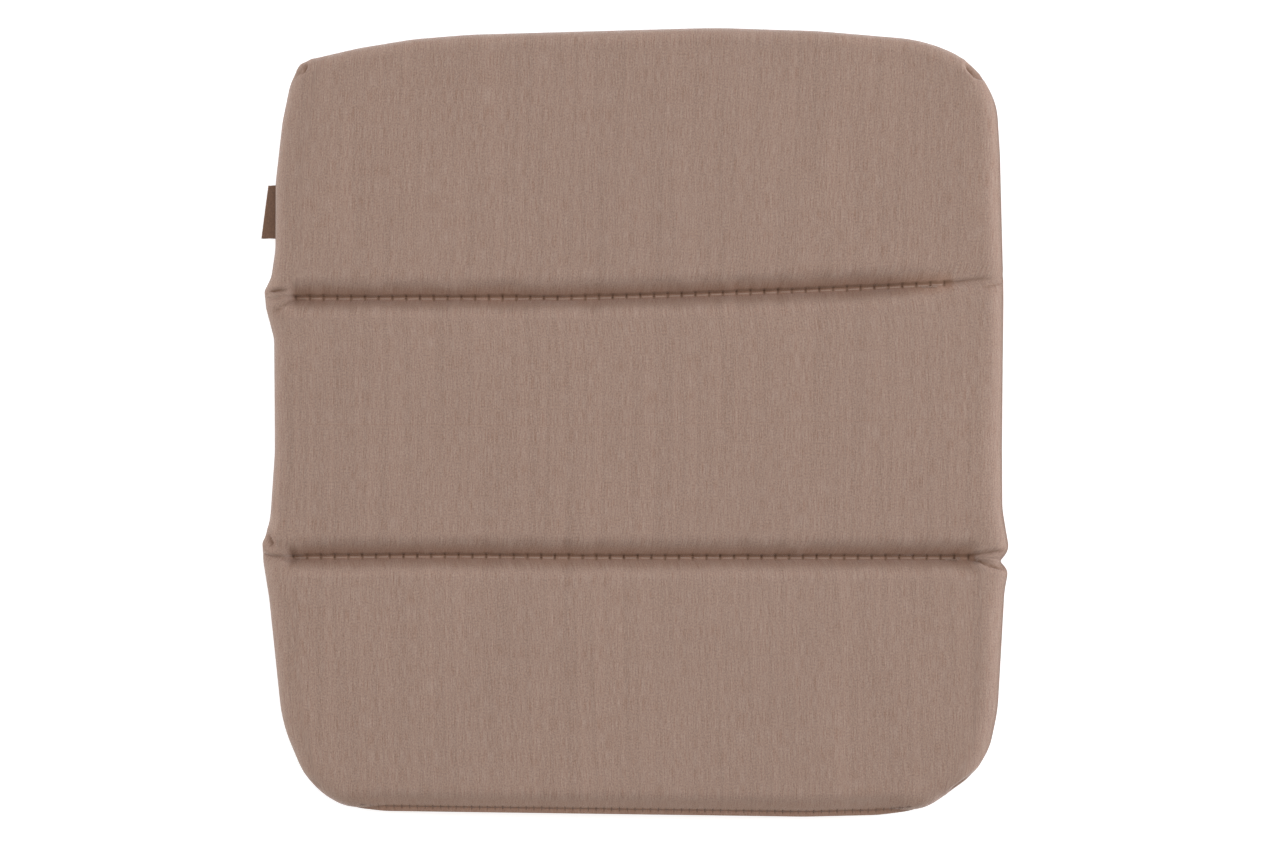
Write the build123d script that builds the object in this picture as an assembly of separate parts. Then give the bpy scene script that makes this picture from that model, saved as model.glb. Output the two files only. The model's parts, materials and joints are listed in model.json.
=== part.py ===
from build123d import *
import math
import os

# Chair seat pad: a foam-filled cushion in a woven cover, quilted across in two rows that divide it
# into a front, a middle and a rear section. It lies flat on a seat and folds along both rows.
# Millimetres. +Z is up, +Y is towards the front edge of the chair seat, and the origin is at the
# centre of the footprint, on the surface that the pad lies on.

# ---- Driving dimensions ----
thickness = 28.0          # height of a padded section
cloth = 0.9               # thickness of the woven cover
foam_gap = 0.3            # room between a foam slab and its cover
edge_radius = 12.6        # roundness of the padded edge, above and below
front_seam_y = 73.0       # quilting row between the front and the middle section
rear_seam_y = -75.0       # quilting row between the middle and the rear section
valley_radius = 10.0      # roundness where a face turns down into a quilted valley
seam_clearance = 1.3      # how far the folding sections stand back from their folding line
tip = 0.3                 # half height of a folding section's thin end
web_half = 0.5            # half thickness of the flat-sewn strip under a quilting row
web_reach = 0.6           # how far that strip reaches past the folding line
allowance = 8.0           # width of the seam allowance turned inside the edge
allowance_room = 0.4      # room between the seam allowance and the foam around it

# Outline of the padded body, anticlockwise from the rear left corner: point and corner radius.
# The front edge is an arc, and the other edges are straight between the rounded corners.
rear_left = (-197.0, -211.0)
rear_right = (200.0, -211.0)
right_rear_seam = (205.5, rear_seam_y)
right_front_seam = (205.5, front_seam_y)
front_right = (200.5, 205.0)
front_crown = (30.0, 220.6)
front_left = (-197.5, 204.5)
left_front_seam = (-202.5, front_seam_y)
left_rear_seam = (-202.5, rear_seam_y)
corner_radii = [
    (rear_left, 46.0),
    (rear_right, 46.0),
    (right_rear_seam, 300.0),
    (right_front_seam, 300.0),
    (front_right, 36.0),
    (front_left, 24.0),
    (left_front_seam, 300.0),
    (left_rear_seam, 300.0),
]

# The closing hem along the rear edge: two turned-in plies sewn flat, a little deeper on the right.
hem_ply = 1.4
hem_end_x = 160.0
hem_edge_left_y = -217.6
hem_edge_right_y = -220.6
hem_root_y = -210.6
hem_row_inset = 4.5
hem_pitch = 4.35

# Thread, and the rows of stitches
thread_width = 0.7
thread_height = 0.5
quilt_pitch = 7.7
quilt_row_half = 188.0
stitch_share = 0.84       # length of a stitch, as a share of its pitch
hidden_seam_inset = 5.2   # distance of the perimeter seam from the outline

# The side label: a folded ribbon caught in the left side seam of the front section.
label_y = 118.0
label_width = 30.0
label_thickness = 1.4
label_reach_front = 4.6
label_reach_rear = 6.6
label_tail_depth = 6.5
label_hinge_gap = 1.05    # distance of its folding line from the side of the pad

middle_z = thickness / 2
far = 300.0


def nearest_vertex(shape, point):
    return min(shape.vertices(), key=lambda v: math.hypot(v.X - point[0], v.Y - point[1]))


def make_outline():
    """The padded body seen from above, with rounded corners."""
    edges = [
        Line(rear_left, rear_right),
        Line(rear_right, right_rear_seam),
        Line(right_rear_seam, right_front_seam),
        Line(right_front_seam, front_right),
        ThreePointArc(front_right, front_crown, front_left),
        Line(front_left, left_front_seam),
        Line(left_front_seam, left_rear_seam),
        Line(left_rear_seam, rear_left),
    ]
    face = make_face(edges)
    for point, radius in corner_radii:
        face = fillet(nearest_vertex(face, point), radius)
    return face


outline = make_outline()


def slab(face, low, high):
    """A face of the plan, given height from low to high."""
    return extrude(Pos(0, 0, low) * face, high - low)


def inset_outline(inset):
    return outline if inset == 0 else offset(outline, -inset)


def pad_solid(inset):
    """The whole pad with round edges, pulled in by inset on every side."""
    body = slab(inset_outline(inset), inset, thickness - inset)
    rims = body.edges().group_by(Axis.Z)
    return fillet(rims[0] + rims[-1], edge_radius - inset)


def ring(outer_inset, inner_inset, low, high):
    """A band that follows the outline, between two insets."""
    return slab(inset_outline(outer_inset) - inset_outline(inner_inset), low, high)


def valley_end(seam_y, side, crossing, end_half, half):
    """Side view of a section's end at a quilted valley: two 45 degree flanks and a thin end.
    side is +1 where the section lies in front of the row. The flanks' lines meet at crossing."""
    low = [
        (seam_y + side * (crossing + half), middle_z - half),
        (seam_y + side * (crossing + end_half), middle_z - end_half),
    ]
    high = [(y, 2 * middle_z - z) for y, z in reversed(low)]
    return low + high


def plain_end(side, half):
    """Side view of a section's end where the pad's own edge ends it."""
    return [(side * far, middle_z - half), (side * far, middle_z + half)]


def section_prism(rear_end, front_end, radius):
    """The space of one section, from its side view. The faces turn into the valleys with radius."""
    profile = make_face(Polyline(*front_end, *reversed(rear_end), close=True))
    valley_corners = [end[i] for end in (rear_end, front_end) if len(end) == 4 for i in (0, 3)]
    for y, z in valley_corners:
        profile = fillet(nearest_vertex(profile, (y, z)), radius)
    return extrude(Plane.YZ * profile, far, both=True)


def front_space(inset):
    half = thickness / 2 - inset
    crossing = seam_clearance - tip + inset * math.sqrt(2)
    return section_prism(
        valley_end(front_seam_y, 1, crossing, tip, half), plain_end(1, half), valley_radius - inset
    )


def middle_space(inset):
    half = thickness / 2 - inset
    crossing = inset * math.sqrt(2)
    return section_prism(
        valley_end(rear_seam_y, 1, crossing, web_half, half),
        valley_end(front_seam_y, -1, crossing, web_half, half),
        valley_radius - inset,
    )


def rear_space(inset):
    half = thickness / 2 - inset
    crossing = seam_clearance - tip + inset * math.sqrt(2)
    return section_prism(
        plain_end(-1, half), valley_end(rear_seam_y, -1, crossing, tip, half), valley_radius - inset
    )


upper_half = Pos(0, 0, middle_z + far / 2) * Box(2 * far, 2 * far, far)
lower_half = Pos(0, 0, middle_z - far / 2) * Box(2 * far, 2 * far, far)
pad_outside = pad_solid(0)
pad_inside = pad_solid(cloth)
pad_foam = pad_solid(cloth + foam_gap)


def cover_pair(space):
    """Top and bottom cover panels of a section, each with its seam allowance turned inwards."""
    shell_outside = pad_outside & space(0)
    hollow = pad_inside & space(cloth)
    pair = []
    for half_space, low, high in (
        (upper_half, middle_z, middle_z + cloth),
        (lower_half, middle_z - cloth, middle_z),
    ):
        panel = (shell_outside & half_space) - hollow
        turned_in = ring(cloth / 2, allowance, low, high) & shell_outside
        pair.append(panel + turned_in)
    return pair


def foam_slab(space):
    """Foam of a section, grooved along the edge where it is pressed round the seam allowance."""
    room = cloth + allowance_room + thread_height
    groove = ring(0, allowance + allowance_room, middle_z - room, middle_z + room)
    return (pad_foam & space(cloth + foam_gap)) - groove


def hidden_seam(space):
    """Thread of the perimeter seam: a line on each side of the two seam allowances."""
    lines = Part()
    for low in (middle_z + cloth, middle_z - cloth - thread_height):
        line = ring(hidden_seam_inset, hidden_seam_inset + thread_width, low, low + thread_height)
        lines += line & space(2 * cloth)
    return lines


def stitch_row(start, end, pitch, low, height):
    """Separate stitches in a straight row from start to end, lying on the level low."""
    row = Vector(*end) - Vector(*start)
    count = int(row.length // pitch)
    angle = math.degrees(math.atan2(row.Y, row.X))
    stitch = slab(SlotOverall(pitch * stitch_share, thread_width), 0, height)
    solids = []
    for i in range(count):
        place = Vector(*start) + row * ((i + 0.5) / count)
        solids.append(Pos(place.X, place.Y, low) * Rot(0, 0, angle) * stitch)
    return Compound(children=solids)


def quilting(seam_y, low):
    """One face's thread of a quilting row."""
    return stitch_row(
        (-quilt_row_half, seam_y), (quilt_row_half, seam_y), quilt_pitch, low, thread_height
    )


def add_quilted_webs(top, bottom):
    """Adds the flat-sewn strips that carry the two quilting rows to the middle panels."""
    plan = Plane.XY * Rectangle(2 * far, 2 * web_reach)
    for seam_y in (front_seam_y, rear_seam_y):
        strip = Pos(0, seam_y, 0) * plan
        top += slab(strip, middle_z, middle_z + web_half) & pad_outside
        bottom += slab(strip, middle_z - web_half, middle_z) & pad_outside
    return top, bottom


def hem_y(x):
    """The hem's outer edge, which runs slightly deeper towards the right."""
    share = (x + hem_end_x) / (2 * hem_end_x)
    return hem_edge_left_y + share * (hem_edge_right_y - hem_edge_left_y)


def hem_plan():
    """The hem seen from above, with tapered ends."""
    taper = 10.0
    points = [
        (-hem_end_x, hem_root_y),
        (-hem_end_x + taper, hem_y(-hem_end_x)),
        (hem_end_x - taper, hem_y(hem_end_x)),
        (hem_end_x, hem_root_y),
    ]
    return make_face(Polyline(*points, close=True))


def closing_stitches(low):
    """One face's thread of the topstitch that closes the hem."""
    inner = hem_end_x - 8.0
    start = (-inner, hem_y(-inner) + hem_row_inset)
    end = (inner, hem_y(inner) + hem_row_inset)
    return stitch_row(start, end, hem_pitch, low, thread_height)


def label_place():
    """Frame of the side label at the pad's side: X points out of the pad, Y runs along the seam."""
    run = Vector(*front_left) - Vector(*left_front_seam)
    share = (label_y - left_front_seam[1]) / run.Y
    side_x = left_front_seam[0] + share * run.X
    angle = math.degrees(math.atan2(run.X, run.Y))
    return Pos(side_x, label_y, middle_z) * Rot(0, 0, 180 - angle)


def label_flap():
    """The part of the label that shows: a tapered flap with a round root at its folding line."""
    half = label_width / 2
    points = [(0, -half), (label_reach_front, -half), (label_reach_rear, half), (0, half)]
    plate = slab(make_face(Polyline(*points, close=True)), -label_thickness / 2, label_thickness / 2)
    root = Rot(90, 0, 0) * Cylinder(label_thickness / 2, label_width)
    return label_place() * Pos(label_hinge_gap, 0, 0) * (plate + root)


def label_tail():
    """The part of the label that is caught between the seam allowances."""
    return label_place() * Pos(-label_tail_depth / 2, 0, 0) * Box(
        label_tail_depth, label_width, label_thickness
    )


top_front, bottom_front = cover_pair(front_space)
top_middle, bottom_middle = cover_pair(middle_space)
top_rear, bottom_rear = cover_pair(rear_space)

top_middle, bottom_middle = add_quilted_webs(top_middle, bottom_middle)
top_rear += slab(hem_plan(), middle_z, middle_z + hem_ply)
bottom_rear += slab(hem_plan(), middle_z - hem_ply, middle_z)
tail = label_tail()
top_front -= tail
bottom_front -= tail
open_for_closing = Pos(0, hem_root_y, middle_z) * Box(2 * hem_end_x, 3 * allowance, thickness)

nodes = {
    "top_panel_front": top_front,
    "top_panel_middle": top_middle,
    "top_panel_rear": top_rear,
    "bottom_panel_front": bottom_front,
    "bottom_panel_middle": bottom_middle,
    "bottom_panel_rear": bottom_rear,
    "foam_front": foam_slab(front_space),
    "foam_middle": foam_slab(middle_space),
    "foam_rear": foam_slab(rear_space),
    "seam_thread_front": hidden_seam(front_space),
    "seam_thread_middle": hidden_seam(middle_space),
    "seam_thread_rear": hidden_seam(rear_space) - open_for_closing,
    "quilt_needle_thread_front": quilting(front_seam_y, middle_z + web_half),
    "quilt_bobbin_thread_front": quilting(front_seam_y, middle_z - web_half - thread_height),
    "quilt_needle_thread_rear": quilting(rear_seam_y, middle_z + web_half),
    "quilt_bobbin_thread_rear": quilting(rear_seam_y, middle_z - web_half - thread_height),
    "closing_needle_thread": closing_stitches(middle_z + hem_ply),
    "closing_bobbin_thread": closing_stitches(middle_z - hem_ply - thread_height),
    "label_tail": tail,
    "label_flap": label_flap(),
}

os.makedirs("parts", exist_ok=True)
for name, shape in nodes.items():
    export_step(shape, f"parts/{name}.step")

place = label_place() * Pos(label_hinge_gap, 0, 0)
axis_end = place * Pos(0, -1, 0)
print("label hinge at", place.position, "axis", axis_end.position - place.position)
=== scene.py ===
import json
import math

import bpy
import numpy as np
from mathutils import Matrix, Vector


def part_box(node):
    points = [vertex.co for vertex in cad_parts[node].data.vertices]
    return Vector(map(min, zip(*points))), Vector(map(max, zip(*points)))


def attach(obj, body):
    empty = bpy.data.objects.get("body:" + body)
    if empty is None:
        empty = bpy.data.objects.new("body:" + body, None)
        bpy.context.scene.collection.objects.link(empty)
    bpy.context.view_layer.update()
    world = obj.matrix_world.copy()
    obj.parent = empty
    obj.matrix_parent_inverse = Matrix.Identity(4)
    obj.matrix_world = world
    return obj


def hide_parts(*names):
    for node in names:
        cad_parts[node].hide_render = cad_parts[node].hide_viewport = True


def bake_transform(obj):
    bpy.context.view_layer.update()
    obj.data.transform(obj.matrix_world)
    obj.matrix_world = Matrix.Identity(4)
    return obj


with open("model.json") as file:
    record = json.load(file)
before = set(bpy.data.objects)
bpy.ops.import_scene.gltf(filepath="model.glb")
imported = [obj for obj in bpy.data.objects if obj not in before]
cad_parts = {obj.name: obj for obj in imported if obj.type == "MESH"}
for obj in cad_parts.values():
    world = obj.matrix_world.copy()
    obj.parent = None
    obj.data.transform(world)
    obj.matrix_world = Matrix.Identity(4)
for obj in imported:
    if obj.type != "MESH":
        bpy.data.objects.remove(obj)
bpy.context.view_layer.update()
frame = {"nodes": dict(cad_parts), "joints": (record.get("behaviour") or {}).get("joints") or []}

# Lengths in this script are in millimetres, and MM turns them into Blender's metres.
MM = 0.001


# ---------------------------------------------------------------- places from the frame

def joint(name):
    """A joint of the part, by its name."""
    return next(j for j in frame["joints"] if j["name"] == name)


FRONT_ROW = joint("front_fold")["pos_m"][1] / MM
REAR_ROW = joint("rear_fold")["pos_m"][1] / MM
MIDDLE_Z = joint("front_fold")["pos_m"][2] / MM
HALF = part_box("top_panel_middle")[1].z / MM - MIDDLE_Z

# ---------------------------------------------------------------- driving sizes

EDGE_REACH = 11.5         # how far in from the side the padded edge takes to reach full height
FRONT_REACH = 8.5         # the same along the front edge, where the foam is cut squarer
HEM_REACH = 10.0          # the same above the closing hem
HEM_WIDTH = 3.4           # flat sewn hem outside its stitches
HEM_HALF_LENGTH = 158.0   # the hem fades out towards the rear corners
HEM_PLY = 1.3             # each half of the hem is turned in, so it is thicker than the cover
COVER_PLY = 0.55          # the cover's own thickness at the side seam
QUILTED_SHARE = 0.24      # foam left under the quilting, as a share of the full thickness
VALLEY_FRONT = 11.6       # width of the flank in front of each quilting row
VALLEY_REAR = 10.5        # width of the flank behind it
VALLEY_FLAT = 1.5         # flat strip behind the row, which carries the stitches
VALLEY_STEP = 0.09        # the front flank starts with a small upright step, which hides the needle line
CROWN = 0.7               # how much fuller a section is at its centre
QUILT_PITCH = 7.7
HEM_PITCH = 4.35
# Where each quilting row is sewn, and how softly its valley runs out at the left and the right end
ROW_SPANS = {"front": (-189.5, 175.5), "rear": (-191.0, 188.0)}
ROW_FADES = {"front": (5.0, 48.0), "rear": (7.0, 3.5)}
SEAM_LIP = 7.0            # seam allowance turned in between the two covers

# Silhouette from above, anticlockwise from the rear left corner: x, y and corner radius.
# The sides stand out where the quilting rows end, because the cover is sewn flat there.
SILHOUETTE = [
    (-197.5, -168, 90), (-184, -200.1, 50), (-163.5, -215.5, 50), (-140, -217.7, 100),
    (95, -220.9, 300), (135, -220.0, 100), (160.6, -217.2, 45), (195.5, -192.9, 44), (202.3, -161, 90),
    (204.2, -128, 200), (206.1, -94, 60), (208.2, -83, 5), (203.4, -77.4, 2), (208.7, -71, 8),
    (204.9, -48, 50), (204.7, -12, 300), (205.6, 72, 300), (203.6, 150, 200), (200.7, 198.1, 46),
    (160, 214.4, 90), (102, 219.3, 300), (45, 221.1, 400), (-92, 217.3, 300), (-124, 214.7, 150),
    (-155, 209.6, 120), (-181, 203.6, 12), (-186.8, 201.0, 5), (-193.0, 189.5, 25), (-197.4, 168, 60),
    (-201.2, 134, 80), (-201.3, 97, 20), (-203.6, 81.5, 12), (-207.5, 73.6, 4), (-206.5, 64, 8),
    (-202.0, 47, 20), (-201.6, -16, 90), (-204.2, -54, 40), (-208.5, -68.5, 8), (-208.1, -77.5, 10),
    (-204.8, -98, 60),
]

# Where the edge turns from one side of the pad to the next, and where the rows meet the sides
TURNS = {
    "rear_left": (-180, -201), "rear_right": (186, -200),
    "right_rear": (203.8, -77.3), "right_front": (205.6, 78.8),
    "front_right": (193, 193), "front_left": (-187.5, 200),
    "left_front": (-206.8, 73.0), "left_rear": (-208.0, -74.5),
}


# ---------------------------------------------------------------- plan of the pad

def rounded_path(corners, step):
    """A closed path with rounded corners, as points about one step apart."""
    places = np.array([c[:2] for c in corners], float)
    ahead = np.roll(places, -1, axis=0) - places
    lengths = np.linalg.norm(ahead, axis=1)
    ahead /= lengths[:, None]
    back = -np.roll(ahead, 1, axis=0)
    halves = np.arccos(np.clip((back * ahead).sum(1), -1, 1)) / 2
    tangents = np.array([c[2] for c in corners]) / np.tan(halves)
    crowding = (tangents + np.roll(tangents, -1)) / lengths
    tangents /= np.maximum(1.02, np.maximum(crowding, np.roll(crowding, 1)) * 1.02)
    points = []
    for here, out, onward, half, tangent in zip(places, back, ahead, halves, tangents):
        radius = tangent * math.tan(half)
        inward = (out + onward) / np.linalg.norm(out + onward)
        centre = here + inward * radius / math.sin(half)
        start, end = here + out * tangent - centre, here + onward * tangent - centre
        turn = math.atan2(start[0] * end[1] - start[1] * end[0], start @ end)
        first = math.atan2(start[1], start[0])
        for a in np.linspace(0, turn, max(3, int(abs(turn) * radius / step))):
            points.append(centre + radius * np.array((math.cos(first + a), math.sin(first + a))))
    closed = np.array(points + points[:1])
    return along(closed, np.linspace(0, 1, int(length_of(closed) / step), endpoint=False))


def length_of(points):
    """Length of a path."""
    return np.linalg.norm(np.diff(points, axis=0), axis=1).sum()


def along(points, shares):
    """Points at the given shares of a path's length."""
    run = np.concatenate(([0], np.cumsum(np.linalg.norm(np.diff(points, axis=0), axis=1))))
    at = np.asarray(shares) * run[-1]
    return np.stack([np.interp(at, run, points[:, k]) for k in range(points.shape[1])], axis=-1)


edge_path = rounded_path(SILHOUETTE, 1.0)


def edge_stretch(start, end):
    """The silhouette from one named turn to another, anticlockwise."""
    i, j = (int(np.argmin(((edge_path - TURNS[n]) ** 2).sum(1))) for n in (start, end))
    return np.roll(edge_path, -i, axis=0)[: (j - i) % len(edge_path) + 1]


def front_row_y(x):
    """The front quilting row bends towards the front on the right."""
    right = np.maximum(0, x + 40)
    return FRONT_ROW - 2.7 + 0.022 * right + 0.00007 * right ** 2 + 2.6 * np.exp(-(x + 207) / 6)


def rear_row_y(x):
    """The rear quilting row is almost straight."""
    return REAR_ROW + 0.4 + 0.7 * np.exp(-((x + 115) / 60) ** 2) - 2.6 * np.exp((x - 204) / 5)


ROW_LINES = {"front": front_row_y, "rear": rear_row_y}


def row_path(row_y, left, right):
    """A quilting row as a path from its left end to its right end on the silhouette."""
    x = np.linspace(TURNS[left][0], TURNS[right][0], 200)
    path = np.stack([x, row_y(x)], axis=1)
    path[0], path[-1] = edge_stretch(left, right)[0], edge_stretch(right, left)[0]
    return path


front_row = row_path(front_row_y, "left_front", "right_front")
rear_row = row_path(rear_row_y, "left_rear", "right_rear")

# Each section's four sides: rear and front run from left to right, left and right from rear to front
SECTIONS = {
    "rear": (edge_stretch("rear_left", "rear_right"), rear_row,
             edge_stretch("left_rear", "rear_left")[::-1], edge_stretch("rear_right", "right_rear")),
    "middle": (rear_row, front_row,
               edge_stretch("left_front", "left_rear")[::-1], edge_stretch("right_rear", "right_front")),
    "front": (front_row, edge_stretch("front_right", "front_left")[::-1],
              edge_stretch("front_left", "left_front")[::-1], edge_stretch("right_front", "front_right")),
}


def section_plan(name, u, v):
    """A grid of plan points that fills one section between its four sides."""
    rear, front, left, right = (along(side, s) for side, s in zip(SECTIONS[name], (u, u, v, v)))
    (rear_left, rear_right), (front_left, front_right) = (SECTIONS[name][k][[0, -1]] for k in (0, 1))
    u, v = u[None, :, None], v[:, None, None]
    across = (1 - v) * rear[None] + v * front[None]
    lengthways = (1 - u) * left[:, None] + u * right[:, None]
    corners = ((1 - u) * (1 - v) * rear_left + u * (1 - v) * rear_right
               + (1 - u) * v * front_left + u * v * front_right)
    return across + lengthways - corners


def pad_plan(u, v_rear, v_middle, v_front):
    """The whole pad's plan grid, from the rear edge to the front edge."""
    rows = [section_plan("rear", u, v_rear), section_plan("middle", u, v_middle)[1:],
            section_plan("front", u, v_front)[1:]]
    return np.concatenate(rows)


def edge_distance(plan):
    """Distance of each plan point from the silhouette, and the way in from its nearest point."""
    flat = plan.reshape(-1, 2)
    nearest = np.empty(len(flat), int)
    for i in range(0, len(flat), 8000):
        part = flat[i: i + 8000]
        apart = (part ** 2).sum(1)[:, None] - 2 * part @ edge_path.T + (edge_path ** 2).sum(1)
        nearest[i: i + 8000] = apart.argmin(1)
    best = np.full(len(flat), 1e9)
    foot = edge_path[nearest].copy()
    for step in (-1, 0):
        a = edge_path[(nearest + step) % len(edge_path)]
        b = edge_path[(nearest + step + 1) % len(edge_path)]
        run = b - a
        share = np.clip(((flat - a) * run).sum(1) / (run ** 2).sum(1), 0, 1)
        point = a + run * share[:, None]
        distance = np.linalg.norm(flat - point, axis=1)
        closer = distance < best
        best[closer], foot[closer] = distance[closer], point[closer]
    tangent = edge_path[(nearest + 2) % len(edge_path)] - edge_path[nearest - 2]
    inward = np.stack([-tangent[:, 1], tangent[:, 0]], axis=1)
    inward /= np.linalg.norm(inward, axis=1)[:, None]
    shape = plan.shape[:2]
    return best.reshape(shape), foot.reshape(*shape, 2), inward.reshape(*shape, 2)


# ---------------------------------------------------------------- height of the padding

def rise(x, fullness=2.0):
    """A quarter round, from 0 at x = 0 to 1 at x = 1. More fullness makes it squarer."""
    return (1 - (1 - np.clip(x, 0, 1)) ** fullness) ** (1 / fullness)


def flank(x):
    """A slope that starts steep at x = 0 and rounds over to level at x = 1."""
    return 1 - (1 - np.clip(x, 0, 1)) ** 1.9


def smooth(x):
    """A soft step, from 0 at x = 0 to 1 at x = 1."""
    x = np.clip(x, 0, 1)
    return x * x * (3 - 2 * x)


def hem_share(foot):
    """1 along the closing hem and 0 elsewhere."""
    return smooth((HEM_HALF_LENGTH + 8 - np.abs(foot[..., 0])) / 30) * (foot[..., 1] < -150)


def valley(x, y, row):
    """Height share across a quilting row: 0 along its stitches, and 1 beyond its flanks and its ends."""
    apart = y - ROW_LINES[row](x)
    before = VALLEY_STEP * rise(apart / 0.7) + (1 - VALLEY_STEP) * flank(apart / VALLEY_FRONT)
    share = np.where(apart > 0, before, flank((-apart - VALLEY_FLAT) / VALLEY_REAR))
    (left, right), (fade_left, fade_right) = ROW_SPANS[row], ROW_FADES[row]
    held = smooth((x - left + fade_left) / fade_left) * smooth((right + 4 - x) / fade_right)
    return 1 - (1 - share) * (0.20 + 0.80 * held)


def pad_height(plan, distance, foot):
    """Height of the cover above the middle of the pad, and the share of full height it reaches."""
    x, y = plan[..., 0], plan[..., 1]
    hem = hem_share(foot)
    reach = EDGE_REACH + (HEM_REACH - EDGE_REACH) * hem
    reach += (FRONT_REACH - EDGE_REACH) * smooth((foot[..., 1] - 195) / 15)
    inside = (distance - HEM_WIDTH * hem) / reach
    edge = (1 - hem) * rise(inside, 2.35) + hem * flank(inside)
    full = edge * valley(x, y, "front") * valley(x, y, "rear")
    ply = (COVER_PLY + (HEM_PLY - COVER_PLY) * hem) * rise(distance / 0.9)
    return ply + (HALF - ply) * (QUILTED_SHARE * edge + (1 - QUILTED_SHARE) * full), full


def waves(x, y, seed, wavelength, count=14):
    """Smooth seeded unevenness between about -1 and 1."""
    rng = np.random.default_rng(seed)
    total = np.zeros_like(x)
    for _ in range(count):
        angle, phase = rng.uniform(0, 2 * math.pi, 2)
        k = 2 * math.pi / (wavelength * rng.uniform(0.6, 1.7))
        total += np.sin(k * (x * math.cos(angle) + y * math.sin(angle)) + phase)
    return total / math.sqrt(count)


# Creases where the cover is gathered: start, end, depth and width. The rows' ends and three corners.
TOP_CREASES = [
    ((-195.0, 73.9), (-204.0, 73.3), 1.9, 0.9),
    ((-190.5, 68.6), (-201.5, 61.4), 1.0, 1.2),
    ((172.0, 77.4), (196.5, 80.6), 0.8, 0.9),
    ((193.5, 75.6), (206.0, 77.6), 0.8, 0.8),
    ((-193.0, -76.0), (-208.5, -73.2), 0.9, 0.8),
    ((-205.2, -62.6), (-202.2, -68.8), 2.8, 1.5),
    ((187.5, -73.9), (204.5, -71.4), 1.2, 0.9),
    ((187.5, -75.8), (205.5, -81.6), 1.8, 1.0),
    ((-183.4, 200.0), (-185.6, 194.4), 3.0, 1.5),
    ((-186.0, 198.6), (-189.4, 192.0), 1.0, 0.9),
    ((185.2, 199.6), (191.4, 192.6), 3.0, 1.4),
    ((190.4, 192.8), (195.4, 191.8), 1.2, 0.9),
    ((191.0, -194.8), (176.0, -205.8), 1.6, 1.1),
    ((-181.5, -198.5), (-175.0, -203.5), 0.7, 1.8),
]
BOTTOM_CREASES = [
    ((-186.0, 71.0), (-203.0, 67.0), 1.8, 1.4),
    ((184.0, 78.5), (204.0, 83.0), 1.6, 1.4),
    ((-186.0, -74.0), (-205.0, -81.0), 1.8, 1.4),
    ((184.0, -75.0), (203.0, -68.0), 1.8, 1.4),
    ((-184.0, 199.0), (-189.0, 193.0), 1.2, 1.2),
]


CREASES = {1: TOP_CREASES, -1: BOTTOM_CREASES}


def crease_depth(x, y, creases):
    """How far the creases press the cover in, less the small ridges beside them, and a mask of painted
    shade along them.
    """
    total, crease_shade_share = np.zeros_like(x), np.zeros_like(x)
    for start, end, depth, width in creases:
        a, run = np.array(start), np.array(end) - np.array(start)
        share = ((x - a[0]) * run[0] + (y - a[1]) * run[1]) / (run @ run)
        held = np.clip(share, 0, 1)
        apart = np.hypot(x - a[0] - held * run[0], y - a[1] - held * run[1])
        fade = np.minimum(1, 0.35 + 1.3 * np.sin(math.pi * np.clip(share, 0.02, 0.98)))
        total += depth * fade * (np.exp(-apart / width) - 0.45 * np.exp(-((apart / width - 2.6) ** 2)))
        crease_shade_share = np.maximum(crease_shade_share, min(1, depth / 2) * fade * np.exp(-((apart / width / 0.8) ** 2)))
    return total, crease_shade_share


def stitch_pull(x, start, pitch):
    """1 at the needle holes and 0 between them."""
    return 1 - np.abs(np.sin(math.pi * (x - start) / pitch)) ** 0.7


HOLE_PUCKER = 0.8         # how far the needle holes draw the cover in
ROW_GATHERS = 0.38        # depth of the fine gathers beside a row
HEM_PUCKER = 0.40         # how far the hem's needle holes draw it in


def pucker(x, y, seed):
    """How far the cover is drawn in beside the quilting rows, in fine gathers at the holes."""
    total = np.zeros_like(x)
    for n, (row, row_y) in enumerate(ROW_LINES.items()):
        start, end = ROW_SPANS[row]
        sewn = smooth((x - start + 4) / 4) * smooth((end + 4 - x) / 4)
        apart = np.abs(y - row_y(x) + 0.4)
        gathers = waves(x, y * 0.25, seed + n, 12.0)
        drawn = sewn * stitch_pull(x, start, QUILT_PITCH)
        total += HOLE_PUCKER * drawn * np.exp(-((apart / 3.0) ** 1.5))
        total += ROW_GATHERS * sewn * gathers * np.exp(-((apart - 5.5) / 4.5) ** 2)
    return total


def sewn_places(shape):
    """Stitch count and distance in metres from the nearest sewn line, and how firmly that line holds, which
    sets how strongly the cover is painted with shade beside it.
    """
    x, y = shape.plan[..., 0], shape.plan[..., 1]
    found = np.stack([x * 0, x * 0 + 1, x * 0], axis=-1)
    for row, row_y in ROW_LINES.items():
        start, end = ROW_SPANS[row]
        apart = (y - row_y(x)) * MM
        held = smooth((x - start + 3) / 3) * smooth((end + 3 - x) / 3)
        near = np.abs(apart) < np.abs(found[..., 1])
        found[near] = np.stack([(x - start) / QUILT_PITCH, apart, held], axis=-1)[near]
    hem = hem_share(shape.foot)
    apart = (shape.distance - HEM_WIDTH) * MM
    near = (hem > 0) & (shape.distance < 12)
    found[near] = np.stack([x / HEM_PITCH, -np.abs(apart) - 0.2 * MM, hem * 0.9], axis=-1)[near]
    return found


def grid_normals(points):
    """Unit directions square to a grid of points."""
    along_u = np.gradient(points, axis=1)
    along_v = np.gradient(points, axis=0)
    normal = np.cross(along_u, along_v)
    return normal / (np.linalg.norm(normal, axis=2)[..., None] + 1e-12)


# ---------------------------------------------------------------- the two covers as grids

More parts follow.
